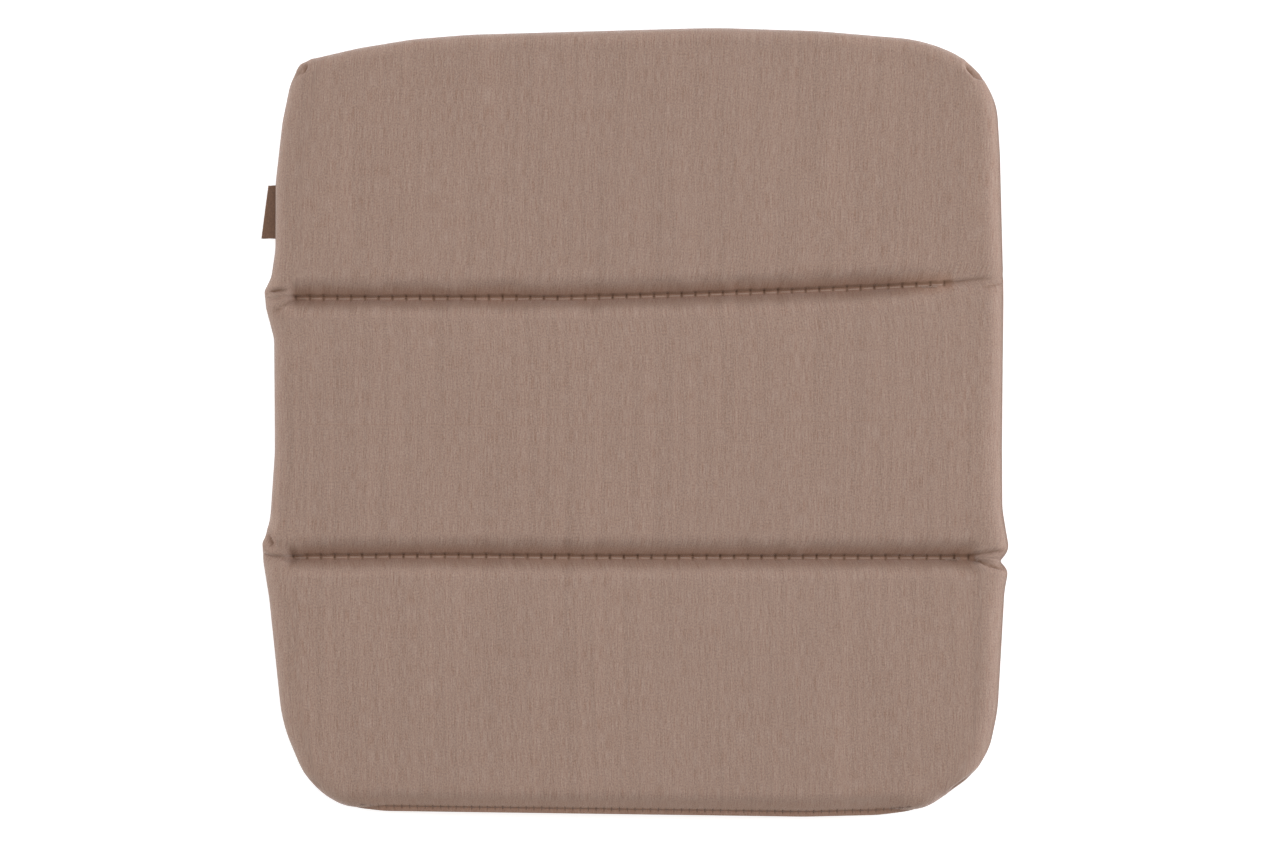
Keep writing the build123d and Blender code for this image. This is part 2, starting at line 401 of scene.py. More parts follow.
def edge_nodes(length, reach, spacing):
    """Shares of a side's length, close together at both ends where the padding turns down."""
    heights = np.array((0, 0.03, 0.07, 0.12, 0.19, 0.28, 0.38, 0.49, 0.6, 0.71, 0.81, 0.89, 0.95, 1.0))
    band = reach * (1 - np.sqrt(1 - heights ** 2)) * 1.04
    count = max(2, int((length - 2 * band[-1]) / spacing))
    middle = np.linspace(band[-1], length - band[-1], count + 1)[1:-1]
    return np.concatenate((band, middle, (length - band)[::-1])) / length


def section_nodes(length, spacing, rear_band, front_band):
    """Shares of a section's length. A band lists the distances wanted from that end."""
    inner = np.linspace(rear_band[-1], length - front_band[-1],
                        max(2, int((length - rear_band[-1] - front_band[-1]) / spacing)) + 1)
    return np.concatenate((rear_band, inner[1:-1], (length - front_band)[::-1])) / length


# Where the cover grid has its lines near a quilting row and near the edge, as distances from them
ROW_BAND = np.array((0, 0.35, 0.8, 1.3, 1.9, 2.6, 3.4, 4.3, 5.3, 6.4, 7.6, 8.9, 10.3, 11.8, 13.4))
EDGE_BAND = np.array((0, 0.04, 0.12, 0.25, 0.5, 0.9, 1.5, 2.3, 3.2, 4.2, 5.4, 6.7, 8.2, 9.9, 11.8, 13.6))
# Rough width of the pad and lengths of its sections, only used to space the other lines
PAD_WIDTH, OUTER_SECTION, MIDDLE_SECTION = 408.0, 150.0, 147.0
GRID_ACROSS, GRID_ALONG = 1.3, 2.2
U = edge_nodes(PAD_WIDTH, EDGE_REACH, GRID_ACROSS)
V_REAR = section_nodes(OUTER_SECTION, GRID_ALONG, EDGE_BAND, ROW_BAND)
V_MIDDLE = section_nodes(MIDDLE_SECTION, GRID_ALONG, ROW_BAND, ROW_BAND)
V_FRONT = section_nodes(OUTER_SECTION, GRID_ALONG, ROW_BAND, EDGE_BAND)
SPLIT_ROW = len(V_REAR) - 1 + len(V_MIDDLE) // 2


SEAM_RISE = 3.6           # how much higher the perimeter seam sits on the right
SEAM_DROP = 1.0           # and how much lower on the left


def seam_lift(foot):
    """The perimeter seam sits higher on the right side and a little lower on the left."""
    x, y = foot[..., 0], foot[..., 1]
    right = smooth((x - 150) / 50) * smooth((y + 205) / 30) * smooth((205 - y) / 30)
    left = smooth((-150 - x) / 50)
    return SEAM_RISE * right - SEAM_DROP * left


class CoverShape:
    """The plan grid with what every cover needs to know about it."""

    def __init__(self, u, v_rear, v_middle, v_front):
        self.plan = pad_plan(u, v_rear, v_middle, v_front)
        self.distance, self.foot, self.inward = edge_distance(self.plan)
        self.height, self.full = pad_height(self.plan, self.distance, self.foot)
        self.u = u
        self.v = np.concatenate((v_rear, 1 + v_middle[1:], 2 + v_front[1:]))

    def plain(self, side):
        """The top (side 1) or bottom (side -1) cover before it swells, wrinkles or is gathered."""
        x, y = self.plan[..., 0], self.plan[..., 1]
        z = self.height.copy()
        if side > 0:
            z += CROWN * self.full ** 2 * np.sin(math.pi * np.clip(self.u, 0, 1))[None] ** 0.5
        return np.stack([x, y, side * z], axis=-1)


# ---------------------------------------------------------------- swelling by cloth simulation

def spline_weights(fine, coarse):
    """A matrix that reads smooth values at fine places from values at coarse places."""
    at = np.interp(fine, coarse, np.arange(len(coarse)))
    base = np.clip(np.floor(at).astype(int), 0, len(coarse) - 2)
    t = at - base
    weights = np.zeros((len(fine), len(coarse)))
    parts = (-0.5 * t + t ** 2 - 0.5 * t ** 3, 1 - 2.5 * t ** 2 + 1.5 * t ** 3,
             0.5 * t + 2 * t ** 2 - 1.5 * t ** 3, -0.5 * t ** 2 + 0.5 * t ** 3)
    for k, part in zip((-1, 0, 1, 2), parts):
        np.add.at(weights, (np.arange(len(fine)), np.clip(base + k, 0, len(coarse) - 1)), part)
    return weights


def grid_faces(rows, columns, offset=0, flip=False):
    """The four-sided faces of a grid whose first point has the number offset."""
    r, c = np.meshgrid(np.arange(rows - 1), np.arange(columns - 1), indexing="ij")
    a = offset + r * columns + c
    quads = np.stack([a, a + 1, a + columns + 1, a + columns], axis=-1).reshape(-1, 4)
    return quads[:, ::-1] if flip else quads


def add_object(name, data):
    """Puts a mesh, a light or a camera into the scene."""
    thing = bpy.data.objects.new(name, data)
    bpy.context.scene.collection.objects.link(thing)
    return thing


def make_mesh(name, points, faces):
    """A smooth mesh object. Its points' heights count from the middle of the pad."""
    mesh = bpy.data.meshes.new(name)
    placed = (np.asarray(points).reshape(-1, 3) + (0, 0, MIDDLE_Z)) * MM
    mesh.from_pydata(placed.tolist(), [], faces)
    mesh.shade_smooth()
    mesh.update()
    return add_object(name, mesh)


COARSE_ACROSS = 82        # grid lines of the coarse copy across the pad
COARSE_ALONG = 31         # and along each section
FOAM_HOLD = 0.04          # how lightly the foam holds the cover away from its seams and rows
SWELL_FRAMES = 20
SWELL_SHARE = 0.12        # the part of the swelling that is kept, as the foam holds back the rest
SWELL_MOST = 0.8          # and the furthest that it may move any point


def swell():
    """Inflates a coarse copy of the sewn cover, and returns how its top and bottom moved."""
    u = np.linspace(0, 1, COARSE_ACROSS)
    v = np.linspace(0, 1, COARSE_ALONG)
    shape = CoverShape(u, v, v, v)
    top, bottom = shape.plain(1), shape.plain(-1)
    rows, columns = top.shape[:2]
    count = rows * columns
    index = np.arange(count).reshape(rows, columns)
    under = index + count
    border = np.zeros((rows, columns), bool)
    border[[0, -1]] = border[:, [0, -1]] = True
    under[border] = index[border]
    quads = [grid_faces(rows, columns), under.reshape(-1)[grid_faces(rows, columns, flip=True)]]
    points = np.concatenate((top.reshape(-1, 3), bottom.reshape(-1, 3)))
    bag = make_mesh("swelling_cover", points, np.concatenate(quads).tolist())
    sewn = bag.vertex_groups.new(name="sewn")
    on_row = np.zeros((rows, columns), bool)
    on_row[[len(v) - 1, 2 * len(v) - 2]] = True
    for grid, held in ((index, border | on_row), (under, on_row)):
        sewn.add([int(i) for i in grid[held]], 1.0, "REPLACE")
        sewn.add([int(i) for i in grid[~held & ~border]], FOAM_HOLD, "REPLACE")
    cloth = bag.modifiers.new("swell", "CLOTH")
    settings = cloth.settings
    settings.quality = 6
    settings.mass = 0.25
    settings.tension_stiffness = 80
    settings.compression_stiffness = 50
    settings.shear_stiffness = 25
    settings.bending_stiffness = 0.6
    settings.vertex_group_mass = "sewn"
    settings.pin_stiffness = 1.0
    settings.shrink_min = -0.006
    settings.use_pressure = True
    settings.uniform_pressure_force = 1.2
    settings.effector_weights.gravity = 0
    cloth.collision_settings.use_collision = False
    scene = bpy.context.scene
    cloth.point_cache.frame_end = SWELL_FRAMES
    for number in range(1, SWELL_FRAMES + 1):
        scene.frame_set(number)
    settled = bag.evaluated_get(bpy.context.evaluated_depsgraph_get()).to_mesh()
    after = np.zeros(len(settled.vertices) * 3)
    settled.vertices.foreach_get("co", after)
    after = after.reshape(-1, 3) / MM - (0, 0, MIDDLE_Z)
    moved_top = after[index] - points[index]
    moved_bottom = after[under] - points[under]
    scene.frame_set(1)
    bpy.data.objects.remove(bag)
    return shape, moved_top, moved_bottom


def capped(move, most):
    """Limits how far points move, without a sudden stop."""
    size = np.linalg.norm(move, axis=-1, keepdims=True) + 1e-9
    return move / size * most * np.tanh(size / most)


fine_shape = CoverShape(U, V_REAR, V_MIDDLE, V_FRONT)
coarse_shape, moved_top, moved_bottom = swell()
by_row = spline_weights(fine_shape.v, coarse_shape.v)
by_column = spline_weights(fine_shape.u, coarse_shape.u)
swollen = {
    side: np.einsum("rc,cdk,ud->ruk", by_row, capped(SWELL_SHARE * move, SWELL_MOST), by_column)
    for side, move in ((1, moved_top), (-1, moved_bottom))
}


# ---------------------------------------------------------------- finished covers

UNEVENNESS = 0.16         # gentle humps all over the padding
SEAM_PULL = 0.8           # how far the perimeter seam is drawn in
UNDER_BULGE = 1.5         # the bottom cover stands out below the higher seam on the right
CLOSE_GAP = 0.05          # left between cloth and cloth at the seam, and between cloth and floor
SEAM_GROOVE = 0.45        # width of the painted shade in the groove along the perimeter seam
HIGH_GROOVE = 0.4         # how much wider it is where the seam sits higher


def cover_points(side):
    """The top or bottom cover as sewn: swollen, gathered along the rows and creased at their ends."""
    shape = fine_shape
    x, y = shape.plan[..., 0], shape.plan[..., 1]
    points = shape.plain(side) + swollen[side] * smooth(shape.full * 3)[..., None]
    normal = grid_normals(points) * side
    depth, _ = crease_depth(x, y, CREASES[side])
    depth += pucker(x, y, 11 if side > 0 else 31) * smooth(shape.distance / 8)
    depth -= UNEVENNESS * waves(x, y, 5 + side, 46.0) * shape.full
    hem = hem_share(shape.foot)
    near_stitches = np.exp(-((shape.distance - HEM_WIDTH) / 1.2) ** 2)
    depth += hem * HEM_PUCKER * stitch_pull(x, 0.0, HEM_PITCH) * near_stitches
    points -= normal * (depth * rise(shape.distance / 2.2))[..., None]
    share = np.clip(np.abs(points[..., 2]) / HALF, 0, 1)
    lift = seam_lift(shape.foot) * (1 - hem)
    points[..., 2] += lift * (1 - share) ** 1.6 * (shape.distance < 2 * EDGE_REACH)
    pull_in = SEAM_PULL * np.exp(-(share * HALF / 0.75) ** 2) * (shape.distance < 1.0)
    bulge = 0.0
    if side < 0:
        bulge = UNDER_BULGE * np.clip(lift, 0, None) / SEAM_RISE * np.sin(math.pi * share)
    near_edge = np.exp(-(shape.distance / 4.0) ** 2)
    points[..., :2] += shape.inward * (pull_in - bulge * near_edge)[..., None]
    points[..., 2] += side * CLOSE_GAP * (shape.distance < 0.001)
    points[..., 2] = np.maximum(points[..., 2], -MIDDLE_Z + CLOSE_GAP)
    return points


def cloth_run(points):
    """Distance along the cloth from left to right and from rear to front, for the weave to follow."""
    step_u = np.linalg.norm(np.diff(points, axis=1), axis=2)
    step_v = np.linalg.norm(np.diff(points, axis=0), axis=2)
    run_u = np.concatenate((np.zeros((len(points), 1)), np.cumsum(step_u, axis=1)), axis=1)
    run_v = np.concatenate((np.zeros((1, points.shape[1])), np.cumsum(step_v, axis=0)))
    run_u -= run_u[:, [points.shape[1] // 2]]
    run_v -= run_v[[SPLIT_ROW]]
    return run_u, run_v


LIP_STEPS = ((1.3, 0.10), (3.0, 0.22), (SEAM_LIP, 0.40))     # how far in, and how far apart there


def lip_rings(points, inward, side):
    """The border points carried inwards as the turned-in seam allowance."""
    rings = []
    for depth, gap in LIP_STEPS:
        ring = points.copy()
        ring[:, :2] += inward * depth
        ring[:, 2] += side * gap
        rings.append(ring)
    return rings


def cover_piece(name, points, rows, side):
    """One half of a cover, from its grid rows, with the seam allowance along its outer edge."""
    first, last = rows
    own = slice(first, last + 1)
    part = points[own]
    inward = fine_shape.inward[own]
    count, columns = part.shape[:2]
    index = np.arange(count * columns).reshape(count, columns)
    if first == 0:
        border = np.concatenate((index[::-1, 0], index[0, 1:], index[1:, -1]))
    else:
        border = np.concatenate((index[:, -1], index[-1, ::-1][1:], index[::-1, 0][1:]))
    flat = part.reshape(-1, 3)
    run_u, run_v = (r[own].reshape(-1) for r in cloth_run(points))
    rings = lip_rings(flat[border], inward.reshape(-1, 2)[border], side)
    quads = [grid_faces(count, columns, flip=side < 0)]
    previous = border
    total = len(flat)
    for ring in rings:
        here = total + np.arange(len(border))
        strip = np.stack([previous[:-1], here[:-1], here[1:], previous[1:]], axis=1)
        quads.append(strip[:, ::-1] if side < 0 else strip)
        previous, total = here, total + len(border)
    piece = make_mesh(name, np.concatenate([flat] + rings), np.concatenate(quads).tolist())
    run = np.zeros((total, 3))
    run[:, 0] = np.concatenate([run_u] + [run_u[border]] * len(rings))
    run[:, 1] = np.concatenate([run_v] + [run_v[border]] * len(rings))
    run[:, 2] = 40.0 * side
    sewn = np.zeros((total, 3))
    sewn[:, 1] = 1
    sewn[: len(flat)] = sewn_places(fine_shape)[own].reshape(-1, 3)
    plan = fine_shape.plan[own].reshape(-1, 2)
    # The cover is painted darker in its creases and in the groove of the perimeter seam, as painted shade.
    # The mask goes to the material as a point attribute.
    _, crease_shade_share = crease_depth(plan[:, 0], plan[:, 1], CREASES[side])
    high_seam = np.clip(seam_lift(fine_shape.foot[own]).reshape(-1), 0, SEAM_RISE) / SEAM_RISE
    groove = SEAM_GROOVE + HIGH_GROOVE * high_seam
    in_seam = np.exp(-(fine_shape.distance[own].reshape(-1) / groove) ** 2)
    crease_shade_share = np.maximum(crease_shade_share, in_seam * 0.9)
    for label, values in (("cloth_run", run * MM), ("sewn_place", sewn)):
        attribute = piece.data.attributes.new(label, "FLOAT_VECTOR", "POINT")
        attribute.data.foreach_set("vector", values.astype(np.float32).reshape(-1))
    crease_shade = piece.data.attributes.new("crease_shade", "FLOAT", "POINT")
    crease_shade.data.foreach_set("value", np.append(crease_shade_share, np.zeros(total - len(flat))).astype(np.float32))
    return piece


# ---------------------------------------------------------------- materials

def srgb(r, g, b):
    """A paint-chart colour (0 to 255) as Blender's linear colour."""
    def linear(c):
        c /= 255
        return c / 12.92 if c <= 0.04045 else ((c + 0.055) / 1.055) ** 2.4
    return (linear(r), linear(g), linear(b), 1.0)


class Nodes:
    """Short calls for laying out shader nodes."""

    def __init__(self, tree):
        self.tree = tree

    def add(self, kind, **values):
        node = self.tree.nodes.new(kind)
        for key, value in values.items():
            setattr(node, key, value)
        return node

    def put(self, socket, value):
        if isinstance(value, bpy.types.NodeSocket):
            self.tree.links.new(value, socket)
        else:
            socket.default_value = value

    def math(self, operation, a, b=0.0):
        node = self.add("ShaderNodeMath", operation=operation)
        for socket, value in zip(node.inputs, (a, b)):
            self.put(socket, value)
        return node.outputs[0]

    def mix(self, share, a, b, blend="MIX"):
        node = self.add("ShaderNodeMix", data_type="RGBA", blend_type=blend)
        self.put(node.inputs["Factor"], share)
        self.put(node.inputs[6], a)
        self.put(node.inputs[7], b)
        return node.outputs[2]

    def noise(self, vector, scale, detail=2.0, roughness=0.5):
        node = self.add("ShaderNodeTexNoise")
        self.put(node.inputs["Vector"], vector)
        node.inputs["Scale"].default_value = scale
        node.inputs["Detail"].default_value = detail
        node.inputs["Roughness"].default_value = roughness
        return node.outputs["Fac"]

    def stretch(self, vector, scale):
        node = self.add("ShaderNodeVectorMath", operation="MULTIPLY")
        self.put(node.inputs[0], vector)
        self.put(node.inputs[1], scale)
        return node.outputs[0]

    def ramp(self, value, low, high):
        node = self.add("ShaderNodeMapRange", clamp=True)
        self.put(node.inputs["Value"], value)
        self.put(node.inputs["From Min"], low)
        self.put(node.inputs["From Max"], high)
        return node.outputs["Result"]


def new_group(name, inputs, outputs):
    """A shader node group with named sockets. Inputs give a kind and a usual value."""
    group = bpy.data.node_groups.new(name, "ShaderNodeTree")
    for label, (kind, value) in inputs.items():
        socket = group.interface.new_socket(name=label, in_out="INPUT", socket_type=kind)
        if value is not None:
            socket.default_value = value
    for label, kind in outputs.items():
        group.interface.new_socket(name=label, in_out="OUTPUT", socket_type=kind)
    nodes = Nodes(group)
    return group, nodes, nodes.add("NodeGroupInput").outputs, nodes.add("NodeGroupOutput").inputs


FLOAT, COLOR, VECTOR = "NodeSocketFloat", "NodeSocketColor", "NodeSocketVector"


def melange_group():
    """Melange yarn: short pale and warm streaks along the warp, with softer bands and a fine grain."""
    group, n, given, out = new_group(
        "melange_yarn",
        {"Vector": (VECTOR, None), "Main": (COLOR, (0.5, 0.5, 0.5, 1)), "Pale": (COLOR, (0.6, 0.6, 0.6, 1)),
         "Warm": (COLOR, (0.5, 0.4, 0.4, 1)), "Streak Width mm": (FLOAT, 0.8),
         "Streak Length mm": (FLOAT, 12.0), "Strength": (FLOAT, 1.0)},
        {"Color": COLOR, "Streaks": FLOAT})
    per_metre = n.math("DIVIDE", 1000.0, given["Streak Width mm"])
    per_length = n.math("DIVIDE", 1000.0, given["Streak Length mm"])
    scale = n.add("ShaderNodeCombineXYZ")
    n.put(scale.inputs[0], per_metre)
    n.put(scale.inputs[1], per_length)
    n.put(scale.inputs[2], per_length)
    streaks = n.noise(n.stretch(given["Vector"], scale.outputs[0]), 1.0, 4.0, 0.75)
    bands = n.noise(n.stretch(given["Vector"], (420.0, 11.0, 11.0)), 1.0, 2.0)
    grain = n.noise(n.stretch(given["Vector"], (1250.0, 950.0, 1250.0)), 1.0, 3.0, 0.8)
    pale = n.math("MULTIPLY", n.ramp(streaks, 0.5, 0.66), given["Strength"])
    warm = n.math("MULTIPLY", n.ramp(streaks, 0.5, 0.36), given["Strength"])
    colour = n.mix(pale, given["Main"], given["Pale"])
    colour = n.mix(warm, colour, given["Warm"])
    shade = n.math("ADD", n.math("MULTIPLY", bands, 0.26), n.math("MULTIPLY", grain, 1.40))
    shade = n.math("ADD", shade, 0.16)
    grey = n.add("ShaderNodeCombineColor")
    for socket in grey.inputs:
        n.put(socket, shade)
    n.put(out["Color"], n.mix(1.0, colour, grey.outputs[0], "MULTIPLY"))
    n.put(out["Streaks"], streaks)
    return group


def weave_group():
    """Plain weave: a height that rises where a yarn passes over, with uneven yarns and fuzz."""
    group, n, given, out = new_group(
        "plain_weave",
        {"Vector": (VECTOR, None), "Warp Pitch mm": (FLOAT, 0.5), "Weft Pitch mm": (FLOAT, 0.6)},
        {"Height": FLOAT, "Gaps": FLOAT})
    split = n.add("ShaderNodeSeparateXYZ")
    n.put(split.inputs[0], given["Vector"])
    wander = n.noise(n.stretch(given["Vector"], (40.0, 40.0, 40.0)), 1.0)
    turns = 1000.0 * math.pi
    across = n.math("DIVIDE", n.math("MULTIPLY", split.outputs[0], turns), given["Warp Pitch mm"])
    lengthways = n.math("DIVIDE", n.math("MULTIPLY", split.outputs[1], turns), given["Weft Pitch mm"])
    across = n.math("ADD", across, n.math("MULTIPLY", wander, 5.0))
    warp = n.math("ABSOLUTE", n.math("SINE", across))
    weft = n.math("ABSOLUTE", n.math("SINE", lengthways))
    over = n.math("MULTIPLY", n.math("SINE", across), n.math("SINE", lengthways))
    chooser = n.ramp(over, -0.25, 0.25)
    height = n.add("ShaderNodeMix", data_type="FLOAT")
    n.put(height.inputs["Factor"], chooser)
    n.put(height.inputs[2], weft)
    n.put(height.inputs[3], warp)
    fuzz = n.noise(n.stretch(given["Vector"], (2600.0, 2600.0, 2600.0)), 1.0, 3.0, 0.7)
    n.put(out["Height"], n.math("ADD", height.outputs[0], n.math("MULTIPLY", fuzz, 0.35)))
    # The gaps between the yarns, where the weave lies lowest. The materials paint them darker as painted
    # shade.
    n.put(out["Gaps"], n.ramp(n.math("MULTIPLY", warp, weft), 0.25, 0.0))
    return group


def soil_group():
    """Lint and slight uneven fading, as a mask of pale flecks and a soft blotch value."""
    group, n, given, out = new_group(
        "lint_and_fading", {"Vector": (VECTOR, None), "Fleck Share": (FLOAT, 0.5)},
        {"Flecks": FLOAT, "Blotches": FLOAT})
    flecks = n.noise(n.stretch(given["Vector"], (900.0, 500.0, 900.0)), 1.0, 1.0)
    limit = n.math("SUBTRACT", 0.86, n.math("MULTIPLY", given["Fleck Share"], 0.1))
    n.put(out["Flecks"], n.ramp(flecks, limit, n.math("ADD", limit, 0.04)))
    n.put(out["Blotches"], n.noise(n.stretch(given["Vector"], (14.0, 9.0, 14.0)), 1.0, 3.0))
    return group


def seam_group():
    """Masks of painted shade for a sewn line: dark needle holes, a dark line in the fold beside them, and a
    wider band of shaded cloth on both sides.
    """
    group, n, given, out = new_group(
        "sewn_line",
        {"Place": (VECTOR, None), "Hole mm": (FLOAT, 0.6), "Line mm": (FLOAT, 0.8),
         "Shelter mm": (FLOAT, 7.0)},
        {"Holes": FLOAT, "Line": FLOAT, "Painted Shade": FLOAT})
    split = n.add("ShaderNodeSeparateXYZ")
    n.put(split.inputs[0], given["Place"])
    ragged = n.noise(n.stretch(given["Place"], (2.3, 900.0, 0.0)), 1.0, 3.0, 0.7)
    jitter = n.math("MULTIPLY", n.math("SUBTRACT", ragged, 0.5), 0.12)
    turn = n.math("FRACT", n.math("ADD", n.math("ADD", split.outputs[0], jitter), 0.5))
    from_hole = n.math("ABSOLUTE", n.math("SUBTRACT", turn, 0.5))
    apart = n.math("MULTIPLY", split.outputs[1], 1000.0)
    beside = n.math("ABSOLUTE", n.math("ADD", apart, 0.4))
    # Painted shade in the needle holes, which are small dark recesses.
    hole = n.math("MULTIPLY", n.ramp(from_hole, 0.12, 0.03),
                  n.ramp(n.math("DIVIDE", beside, given["Hole mm"]), 2.4, 0.8))
    hole = n.math("MULTIPLY", hole, n.ramp(ragged, 0.25, 0.62))
    # Painted shade: a dark line just in front of the stitches, where the front flank overhangs the fold.
    line = n.math("DIVIDE", n.math("ABSOLUTE", n.math("SUBTRACT", apart, 0.45)), given["Line mm"])
    line = n.ramp(n.math("ADD", line, n.math("MULTIPLY", n.math("SUBTRACT", ragged, 0.5), 0.9)), 1.1, 0.3)
    # Painted shade: the cloth on both sides of the line is darker, most near the line.
    painted_shade = n.ramp(n.math("DIVIDE", n.math("ABSOLUTE", apart), given["Shelter mm"]), 1.0, 0.0)
    for label, mask in (("Holes", hole), ("Line", line), ("Painted Shade", painted_shade)):
        n.put(out[label], n.math("MULTIPLY", mask, split.outputs[2]))
    return group


MELANGE = melange_group()
WEAVE = weave_group()
SOIL = soil_group()
SEAM = seam_group()


def place_group(n, group, **values):
    """A shader group placed in a material, with its own values."""
    node = n.add("ShaderNodeGroup", node_tree=group)
    for label, value in values.items():
        n.put(node.inputs[label.replace("_", " ")], value)
    return node.outputs


def new_material(name):
    """A material, with its node helper and its main shader."""
    material = bpy.data.materials.new(name)
    material.use_nodes = True
    n = Nodes(material.node_tree)
    return material, n, material.node_tree.nodes["Principled BSDF"]


def bump(n, height, distance, strength):
    """A normal that follows a height. The distance is the depth of the relief in metres."""
    node = n.add("ShaderNodeBump")
    node.inputs["Distance"].default_value = distance
    node.inputs["Strength"].default_value = strength
    n.put(node.inputs["Height"], height)
    return node.outputs["Normal"]


def cover_material():
    """The cover: matt melange canvas in pinkish taupe."""
    material, n, shader = new_material("taupe_melange_canvas")
    run = n.add("ShaderNodeAttribute", attribute_name="cloth_run").outputs["Vector"]
    yarn = place_group(n, MELANGE, Vector=run, Main=srgb(160, 134, 119), Pale=srgb(177, 154, 140),
                       Warm=srgb(144, 110, 92), Streak_Width_mm=0.40, Streak_Length_mm=10.0, Strength=0.70)
    weave = place_group(n, WEAVE, Vector=run, Warp_Pitch_mm=0.55, Weft_Pitch_mm=0.62)
    soil = place_group(n, SOIL, Vector=run, Fleck_Share=0.3)
    # Painted shade between the yarns of the weave.
    colour = n.mix(n.math("MULTIPLY", weave["Gaps"], 0.22), yarn["Color"], srgb(112, 88, 74))
    colour = n.mix(n.math("MULTIPLY", soil["Flecks"], 0.35), colour, srgb(190, 176, 166))
    blotch = n.math("MULTIPLY", n.ramp(soil["Blotches"], 0.35, 0.7), 0.10)
    colour = n.mix(blotch, colour, srgb(150, 129, 118))
    place = n.add("ShaderNodeAttribute", attribute_name="sewn_place").outputs["Vector"]
    seam = place_group(n, SEAM, Place=place, Hole_mm=0.75, Line_mm=1.2, Shelter_mm=7.0)
    # Painted shade in the quilting valleys and beside the hem: the cloth darker and warmer.
    colour = n.mix(n.math("MULTIPLY", seam["Painted Shade"], 0.55), colour, srgb(152, 112, 88))
    # Painted shade: a dark line in the fold of each quilting row.
    colour = n.mix(n.math("MULTIPLY", seam["Line"], 0.42), colour, srgb(110, 80, 60))
    # Painted shade in the needle holes.
    colour = n.mix(n.math("MULTIPLY", seam["Holes"], 0.85), colour, srgb(76, 55, 42))
    crease_shade = n.add("ShaderNodeAttribute", attribute_name="crease_shade").outputs["Fac"]
    # Painted shade in the creases and along the perimeter seam.
    colour = n.mix(n.math("MULTIPLY", crease_shade, 0.80), colour, srgb(102, 69, 48))
    n.put(shader.inputs["Base Color"], colour)
    n.put(shader.inputs["Roughness"], n.math("ADD", 0.82, n.math("MULTIPLY", yarn["Streaks"], 0.12)))
    n.put(shader.inputs["Normal"], bump(n, weave["Height"], 0.00012, 0.7))
    shader.inputs["Specular IOR Level"].default_value = 0.18
    shader.inputs["Sheen Weight"].default_value = 0.70
    shader.inputs["Sheen Roughness"].default_value = 0.22
    shader.inputs["Sheen Tint"].default_value = srgb(232, 222, 216)
    return material


def thread_material(name, colour, dark):
    """Twisted polyester thread, slightly shiny, painted darker in the hollows of its fibre relief as
    painted shade, and in soft random blotches.
    """
    material, n, shader = new_material(name)
    place = n.add("ShaderNodeTexCoord").outputs["Object"]
    soil = place_group(n, SOIL, Vector=place, Fleck_Share=0.6)
    fibres = n.noise(n.stretch(place, (5200.0, 5200.0, 5200.0)), 1.0, 2.0)
    # Painted shade: the thread is darker where its fibre relief lies lowest.
    shade = n.mix(n.ramp(fibres, 0.35, 0.7), dark, colour)
    n.put(shader.inputs["Base Color"], n.mix(n.math("MULTIPLY", soil["Blotches"], 0.25), shade, dark))
    n.put(shader.inputs["Roughness"], n.math("ADD", 0.45, n.math("MULTIPLY", fibres, 0.25)))
    n.put(shader.inputs["Normal"], bump(n, fibres, 0.00008, 0.6))
    shader.inputs["Sheen Weight"].default_value = 0.2
    return material


def ribbon_material():
    """The label: a dense dark brown ribbon with a ribbed weave."""
    material, n, shader = new_material("dark_woven_ribbon")
    place = n.add("ShaderNodeTexCoord").outputs["Object"]
    yarn = place_group(n, MELANGE, Vector=place, Main=srgb(119, 85, 63), Pale=srgb(131, 98, 75),
                       Warm=srgb(106, 73, 53), Streak_Width_mm=0.5, Streak_Length_mm=5.0, Strength=0.6)
    weave = place_group(n, WEAVE, Vector=place, Warp_Pitch_mm=0.32, Weft_Pitch_mm=0.42)
    soil = place_group(n, SOIL, Vector=place, Fleck_Share=0.5)
    # Painted shade between the yarns of the ribbon's weave.
    colour = n.mix(n.math("MULTIPLY", weave["Gaps"], 0.4), yarn["Color"], srgb(70, 50, 40))
    n.put(shader.inputs["Base Color"],
          n.mix(n.math("MULTIPLY", soil["Flecks"], 0.25), colour, srgb(150, 132, 120)))
    n.put(shader.inputs["Roughness"], n.math("ADD", 0.55, n.math("MULTIPLY", yarn["Streaks"], 0.2)))
    n.put(shader.inputs["Normal"], bump(n, weave["Height"], 0.00010, 0.8))
    shader.inputs["Sheen Weight"].default_value = 0.05
    return material


def foam_material():
    """Open-cell foam: off-white with a pitted skin, its pits painted darker as painted shade."""
    material, n, shader = new_material("open_cell_foam")
    place = n.add("ShaderNodeTexCoord").outputs["Object"]
    cells = n.add("ShaderNodeTexVoronoi", feature="DISTANCE_TO_EDGE")
    n.put(cells.inputs["Vector"], n.stretch(place, (1100.0, 1100.0, 1100.0)))
    cells.inputs["Scale"].default_value = 1.0
    walls = n.ramp(cells.outputs["Distance"], 0.0, 0.25)
    soil = place_group(n, SOIL, Vector=place, Fleck_Share=0.2)
    # Painted shade: the cell pits are darker than the cell walls around them.
    colour = n.mix(walls, srgb(226, 221, 205), srgb(178, 170, 150))
    yellowed = n.ramp(soil["Blotches"], 0.3, 0.8)
    n.put(shader.inputs["Base Color"], n.mix(yellowed, colour, srgb(214, 205, 182)))
    n.put(shader.inputs["Roughness"], n.math("ADD", 0.8, n.math("MULTIPLY", walls, 0.15)))
    n.put(shader.inputs["Normal"], bump(n, n.math("SUBTRACT", 1.0, walls), 0.0004, 0.8))
    return material


